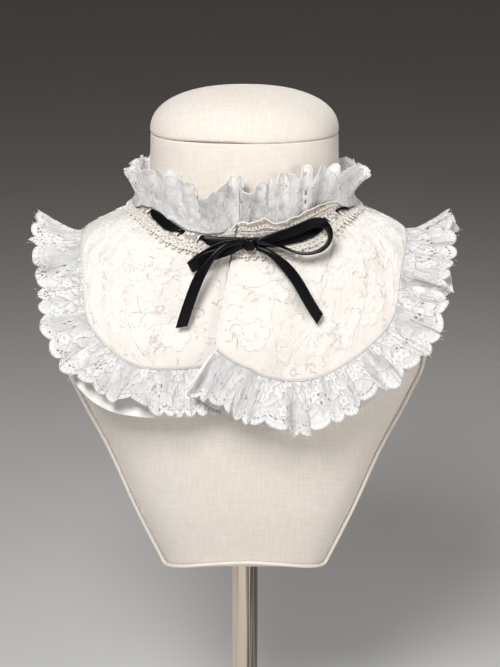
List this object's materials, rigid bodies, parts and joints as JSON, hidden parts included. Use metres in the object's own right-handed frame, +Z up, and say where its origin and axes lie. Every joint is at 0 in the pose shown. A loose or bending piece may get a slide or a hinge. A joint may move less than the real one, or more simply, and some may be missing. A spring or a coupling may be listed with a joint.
{
  "type": "ruff collar on a display bust",
  "caption": "Detachable lace yoke collar with a gathered lace and satin ruffle, a standing neck frill and a ribbon bow, worn on a linen bust on a chrome pole and round base.",
  "frame": {"origin": "centre of the base plate's underside, on the surface it stands on", "axes": "+Z up along the pole, -Y the wearer's front, +X the wearer's left"},
  "size_m": [0.3148, 0.2256, 0.5533],
  "materials": {
    "linen": "plain-woven cream linen",
    "yoke_lace": "corded floral lace on white satin",
    "ruffle_lace": "sheer scalloped lace edging",
    "satin": "white satin with a rolled hem",
    "beading": "ivory cotton beading lace with picot edges",
    "black_satin": "black satin ribbon",
    "chrome": "polished chrome plate"
  },
  "bodies": {
    "root": {"bust_body": "linen", "bust_top_cap": "linen", "bust_piping": "linen", "pole": "chrome", "base_plate": "chrome", "yoke_front_right": "yoke_lace", "yoke_front_left": "yoke_lace", "yoke_back": "yoke_lace", "ruffle_lace_right": "ruffle_lace", "ruffle_lace_back": "ruffle_lace", "ruffle_lace_left": "ruffle_lace", "neck_frill": "ruffle_lace", "ruffle_satin_right": "satin", "ruffle_satin_back": "satin", "ruffle_satin_left": "satin", "beading_lace": "beading", "neck_ribbon": "black_satin", "bow_knot": "black_satin", "bow_loop_right": "black_satin", "bow_loop_left": "black_satin", "bow_tail_right": "black_satin", "bow_tail_left": "black_satin"}
  },
  "joints": []
}
